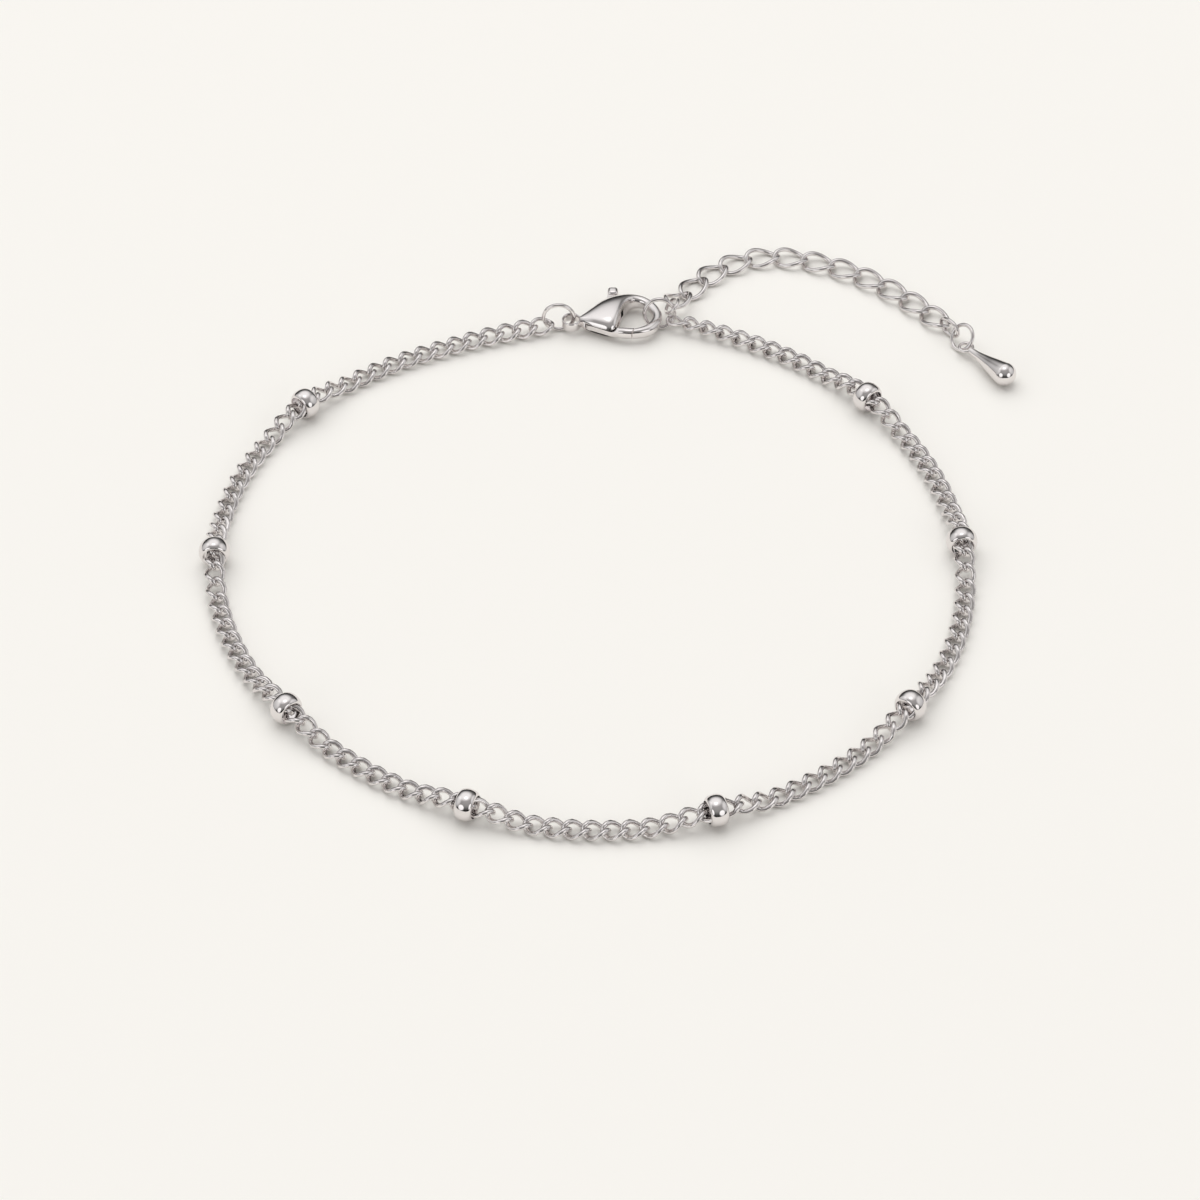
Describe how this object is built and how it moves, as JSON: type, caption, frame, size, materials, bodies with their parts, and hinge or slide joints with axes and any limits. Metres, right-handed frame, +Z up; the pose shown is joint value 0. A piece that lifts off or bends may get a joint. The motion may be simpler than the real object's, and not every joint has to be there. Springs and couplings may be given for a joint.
{
  "type": "beaded anklet",
  "caption": "Thin metal anklet with round beads along its chain, closed by a lobster clasp, with an extender chain that ends in a teardrop.",
  "frame": {"origin": "middle of the outline seen from above, at the height of the surface that the anklet lies on", "axes": "+Z up from the surface, +Y from the middle of the loop towards the clasp, +X from the clasp's eye towards its hook"},
  "size_m": [0.0844, 0.086, 0.0036],
  "materials": {
    "chain_metal": "polished silver plate",
    "bead_metal": "polished silver plate",
    "ring_metal": "polished silver plate",
    "clasp_metal": "polished silver plate",
    "drop_metal": "polished silver plate"
  },
  "bodies": {
    "anklet": {"chain": "chain_metal", "chain_link_left": "chain_metal", "chain_link_right": "chain_metal", "bead_1": "bead_metal", "bead_2": "bead_metal", "bead_3": "bead_metal", "bead_4": "bead_metal", "bead_5": "bead_metal", "bead_6": "bead_metal", "bead_7": "bead_metal", "bead_8": "bead_metal", "clasp_ring": "ring_metal", "clasp_body": "clasp_metal", "end_ring": "ring_metal", "connector_ring": "ring_metal", "extender_link_01": "chain_metal", "extender_link_02": "chain_metal", "extender_link_03": "chain_metal", "extender_link_04": "chain_metal", "extender_link_05": "chain_metal", "extender_link_06": "chain_metal", "extender_link_07": "chain_metal", "extender_link_08": "chain_metal", "extender_link_09": "chain_metal", "extender_link_10": "chain_metal", "extender_link_11": "chain_metal", "extender_link_12": "chain_metal", "tail_ring": "ring_metal", "drop_ring": "ring_metal", "drop": "drop_metal"},
    "lever": {"clasp_lever": "clasp_metal"}
  },
  "joints": [
    {"name": "lever_hinge", "type": "hinge", "parent": "anklet", "child": "lever", "pos_m": [-0.0027, 0.02989, 0.0011], "axis": [0, 0, 1], "range_deg": [0, 20], "stiffness_Nm_per_rad": 0.004, "springref_deg": -5.73}
  ]
}
